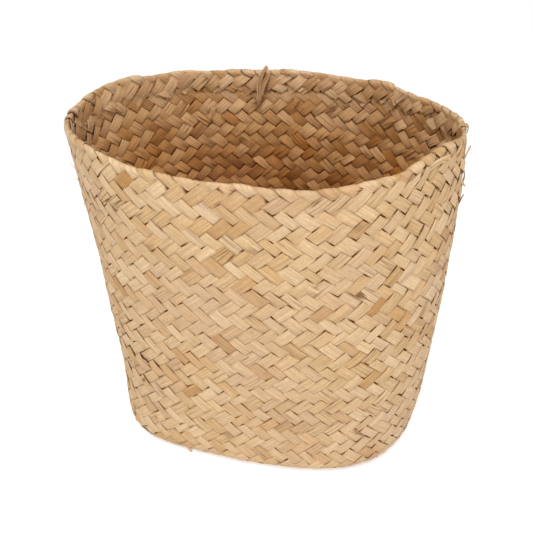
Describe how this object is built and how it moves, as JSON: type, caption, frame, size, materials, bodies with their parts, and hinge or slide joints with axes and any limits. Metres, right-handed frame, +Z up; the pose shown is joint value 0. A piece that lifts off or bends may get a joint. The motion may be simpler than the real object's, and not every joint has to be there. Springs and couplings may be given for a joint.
{
  "type": "plaited oval basket",
  "caption": "Open oval basket with a tapered wall, bias-plaited from flat seagrass strips, with a folded rim and a twine tie.",
  "frame": {"origin": "middle of the underside of the base, on the surface that the basket stands on", "axes": "+Z up out of the open top, +X along the oval's length towards the end that the base leans to, +Y towards the side with the twine tie"},
  "size_m": [0.2508, 0.191, 0.2233],
  "materials": {
    "seagrass_leaf": "dry plaited seagrass leaf, low sheen",
    "seagrass_rim": "folded seagrass leaf, low sheen",
    "twine": "twisted plant fibre, matt"
  },
  "bodies": {
    "root": {"leaf_band_p_1": "seagrass_leaf", "leaf_band_p_2": "seagrass_leaf", "leaf_band_p_3": "seagrass_leaf", "leaf_band_p_4": "seagrass_leaf", "leaf_band_p_5": "seagrass_leaf", "leaf_band_p_6": "seagrass_leaf", "leaf_band_p_7": "seagrass_leaf", "leaf_band_p_8": "seagrass_leaf", "leaf_band_q_1": "seagrass_leaf", "leaf_band_q_2": "seagrass_leaf", "leaf_band_q_3": "seagrass_leaf", "leaf_band_q_4": "seagrass_leaf", "leaf_band_q_5": "seagrass_leaf", "leaf_band_q_6": "seagrass_leaf", "leaf_band_q_7": "seagrass_leaf", "leaf_band_q_8": "seagrass_leaf", "folded_rim": "seagrass_rim", "twine_tie": "twine", "twine_knot": "twine"}
  },
  "joints": []
}
